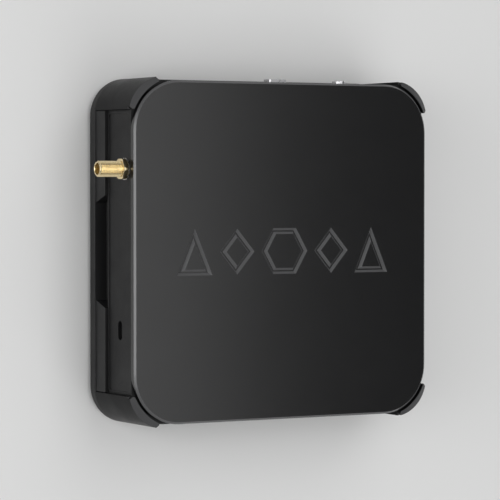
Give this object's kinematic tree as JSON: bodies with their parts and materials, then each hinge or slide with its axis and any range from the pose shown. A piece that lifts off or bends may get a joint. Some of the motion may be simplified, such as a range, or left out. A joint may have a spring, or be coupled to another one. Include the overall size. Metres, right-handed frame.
{
  "type": "mini pc",
  "caption": "Small square desktop computer in a black case with corner posts, a screw-on aerial socket, ports on two walls, a power button and air recesses.",
  "frame": {"origin": "centre of the bottom cover's underside, where a monitor bracket fastens; the rubber feet reach 2 mm below it", "axes": "+Z out of the top cover, +Y out of the rear port wall, -X out of the wall with the aerial socket"},
  "size_m": [0.1495, 0.1393, 0.039],
  "materials": {
    "cover_plastic": "satin black, fine moulded grain",
    "shell_plastic": "matte black, fine moulded grain",
    "base_plastic": "matte black, fine moulded grain",
    "post_plastic": "soft matte black",
    "foot_rubber": "matte",
    "mesh_steel": "black powder coat",
    "black_screw": "black oxide",
    "brass": "turned, bare",
    "gold_brass": "gold plated",
    "copper": "bare copper",
    "bright_steel": "nickel plated",
    "port_steel": "tin plated sheet",
    "bare_aluminium": "bare",
    "white_insulator": "waxy white",
    "lead_jacket": "smooth jacket",
    "board_laminate": "green solder mask",
    "module_laminate": "green solder mask",
    "chip_black": "matte epoxy",
    "pad_grey": "soft silicone",
    "fan_plastic": "matte black",
    "connector_plastic": "black glass-filled",
    "button_plastic": "satin black",
    "switch_plastic": "off-white",
    "light_pipe": "clear frosted"
  },
  "bodies": {
    "case": {"antenna_connector": "gold_brass", "antenna_contact": "gold_brass", "antenna_insulator": "white_insulator", "antenna_nut": "gold_brass", "antenna_pigtail": "lead_jacket", "antenna_washer": "bright_steel", "audio_jack": "port_steel", "base_shell": "base_plastic", "board_screws": "bright_steel", "board_standoffs": "brass", "bottom_cover": "base_plastic", "bracket_inserts": "brass", "capacitors": "bare_aluminium", "card_screws": "bright_steel", "card_sockets": "connector_plastic", "coin_cell": "bright_steel", "coin_cell_holder": "connector_plastic", "controller_chips": "chip_black", "cooler_screws": "bright_steel", "corner_post_left_front": "post_plastic", "corner_post_left_rear": "post_plastic", "corner_post_right_front": "post_plastic", "corner_post_right_rear": "post_plastic", "cover_screws": "black_screw", "display_port": "port_steel", "fan_housing": "fan_plastic", "fan_lid": "bare_aluminium", "fan_screws": "bright_steel", "fin_stack": "bare_aluminium", "hdmi_port": "port_steel", "heat_pipe": "copper", "heat_spreader": "copper", "inductors": "chip_black", "lock_plate": "bright_steel", "mainboard": "board_laminate", "memory_module_front": "module_laminate", "memory_module_rear": "module_laminate", "memory_socket_front": "connector_plastic", "memory_socket_rear": "connector_plastic", "network_jack": "port_steel", "pigtail_plug": "gold_brass", "port_tongues": "connector_plastic", "power_jack": "connector_plastic", "power_switch": "connector_plastic", "processor": "chip_black", "radio_card": "module_laminate", "rubber_feet": "foot_rubber", "status_light": "light_pipe", "storage_card": "module_laminate", "thermal_pad": "pad_grey", "top_cover": "cover_plastic", "upper_shell": "shell_plastic", "usb_c_port": "port_steel", "usb_port_front": "port_steel", "usb_port_middle": "port_steel", "usb_port_rear": "port_steel", "vent_meshes": "mesh_steel"},
    "fan": {"fan_rotor": "fan_plastic"},
    "button": {"power_button": "button_plastic"},
    "plunger": {"switch_plunger": "switch_plastic"}
  },
  "joints": [
    {"name": "fan_spin", "type": "hinge", "parent": "case", "child": "fan", "pos_m": [-0.003, -0.022, 0.024], "axis": [0, 0, 1], "continuous": true},
    {"name": "power_button_press", "type": "slide", "parent": "case", "child": "button", "axis": [0, 1, 0], "range_m": [0, 0.0004], "stiffness_N_per_m": 300, "springref_m": -0.001},
    {"name": "switch_plunger_press", "type": "slide", "parent": "case", "child": "plunger", "axis": [0, 1, 0], "range_m": [0, 0.0004]}
  ],
  "couplings": [
    {"joint": "switch_plunger_press", "follows": "power_button_press", "ratio": 1}
  ]
}
